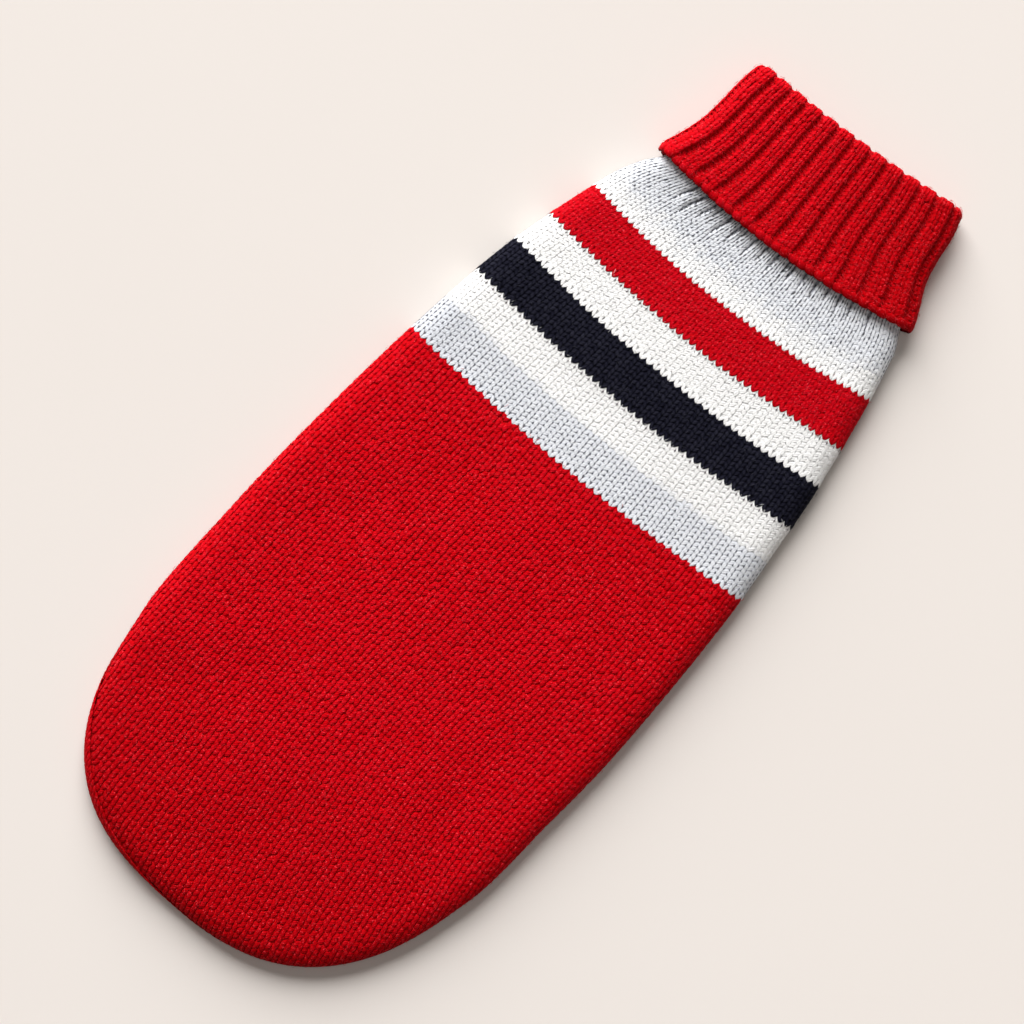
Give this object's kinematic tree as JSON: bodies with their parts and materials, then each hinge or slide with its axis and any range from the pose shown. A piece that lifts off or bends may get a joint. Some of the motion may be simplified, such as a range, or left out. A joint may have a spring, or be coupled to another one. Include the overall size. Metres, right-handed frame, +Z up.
{
  "type": "dog sweater",
  "caption": "Striped knitted dog sweater with a turned-down rib collar, lying flat with its back upwards; covers a dog's neck, back and chest.",
  "frame": {"origin": "middle of the flat underside, on the surface that the sweater lies on", "axes": "+X across the body, +Y from the tail towards the neck, +Z up through the back panel"},
  "size_m": [0.2262, 0.5231, 0.0184],
  "materials": {
    "back_knit": "matt knitted yarn, red with red, white, navy and grey stripes near the neck",
    "belly_knit": "matt plain knitted yarn, red",
    "collar_rib": "matt two by two rib, red",
    "hem_chain": "matt chain edging, red"
  },
  "bodies": {
    "root": {"back_panel": "back_knit", "belly_panel": "belly_knit", "chest_panel": "belly_knit", "collar": "collar_rib", "hem_edging": "hem_chain"}
  },
  "joints": []
}
